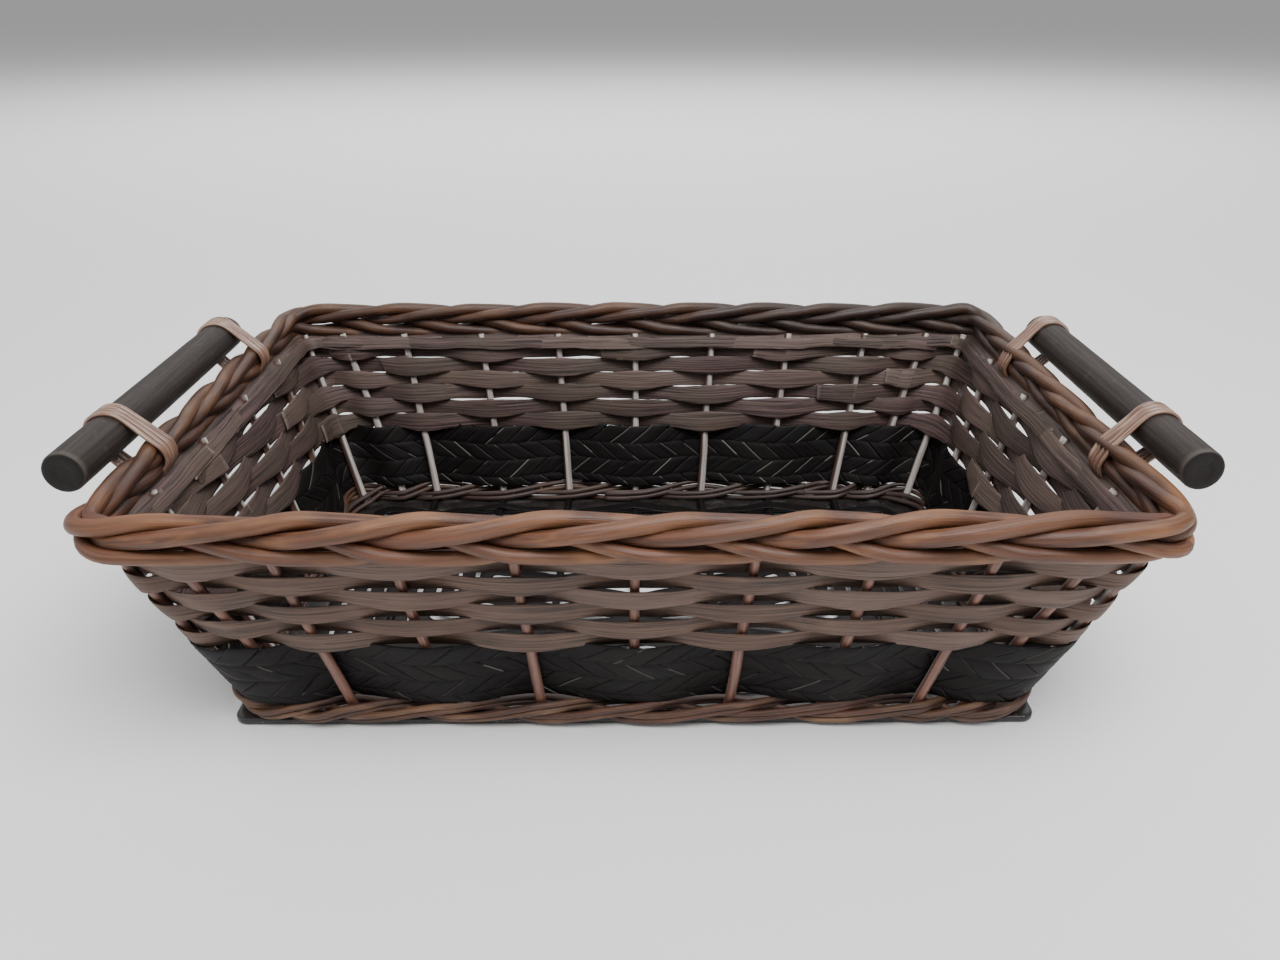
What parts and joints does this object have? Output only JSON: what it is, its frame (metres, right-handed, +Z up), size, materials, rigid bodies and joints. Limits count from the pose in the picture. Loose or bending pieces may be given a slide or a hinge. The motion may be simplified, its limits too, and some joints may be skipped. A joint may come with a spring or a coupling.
{
  "type": "wicker log basket",
  "caption": "Rectangular flared wicker basket with woven splint sides, a dark plaited band, a braided border and a round lashed handle at each end.",
  "frame": {"origin": "centre of the underside of the base frame, on the surface the basket stands on", "axes": "+X along the length, from one handle to the other; +Y across the width, towards the long side away from the handles' long ends; +Z up"},
  "size_m": [0.5388, 0.3292, 0.154],
  "materials": {
    "stake_willow": "peeled willow rod, stained red brown, satin",
    "border_willow": "thick willow rod, stained warm brown, satin with a soft shine along the top",
    "splint": "flat split wood strip, stained grey brown, matt with fine grain",
    "black_splint": "flat split strip dyed black, with a slight shine",
    "base_wood": "black stained wood, satin",
    "handle_wood": "round dowel stained charcoal, matt",
    "cane": "split cane, pinkish brown, glossy"
  },
  "bodies": {
    "root": {"base_frame": "base_wood", "border_rod_1": "border_willow", "border_rod_2": "border_willow", "border_rod_3": "border_willow", "border_rod_4": "border_willow", "border_rod_5": "border_willow", "floor_stick_1": "base_wood", "floor_stick_2": "base_wood", "floor_stick_3": "base_wood", "floor_stick_4": "base_wood", "floor_stick_5": "base_wood", "floor_stick_6": "base_wood", "floor_stick_7": "base_wood", "floor_weaver": "black_splint", "foot_wale_rod_1": "border_willow", "foot_wale_rod_2": "border_willow", "foot_wale_rod_3": "border_willow", "handle_left": "handle_wood", "handle_right": "handle_wood", "lashing_left_back": "cane", "lashing_left_front": "cane", "lashing_right_back": "cane", "lashing_right_front": "cane", "plaited_band": "black_splint", "splint_row_1": "splint", "splint_row_2": "splint", "splint_row_3": "splint", "splint_row_4": "splint", "splint_row_5": "splint", "splint_row_6": "splint", "stake_back_1": "stake_willow", "stake_back_2": "stake_willow", "stake_back_3": "stake_willow", "stake_back_4": "stake_willow", "stake_back_5": "stake_willow", "stake_back_6": "stake_willow", "stake_back_7": "stake_willow", "stake_back_8": "stake_willow", "stake_back_9": "stake_willow", "stake_corner_back_left": "stake_willow", "stake_corner_back_right": "stake_willow", "stake_corner_front_left": "stake_willow", "stake_corner_front_right": "stake_willow", "stake_front_1": "stake_willow", "stake_front_2": "stake_willow", "stake_front_3": "stake_willow", "stake_front_4": "stake_willow", "stake_front_5": "stake_willow", "stake_front_6": "stake_willow", "stake_front_7": "stake_willow", "stake_front_8": "stake_willow", "stake_front_9": "stake_willow", "stake_left_1": "stake_willow", "stake_left_2": "stake_willow", "stake_left_3": "stake_willow", "stake_left_4": "stake_willow", "stake_right_1": "stake_willow", "stake_right_2": "stake_willow", "stake_right_3": "stake_willow", "stake_right_4": "stake_willow"}
  },
  "joints": []
}
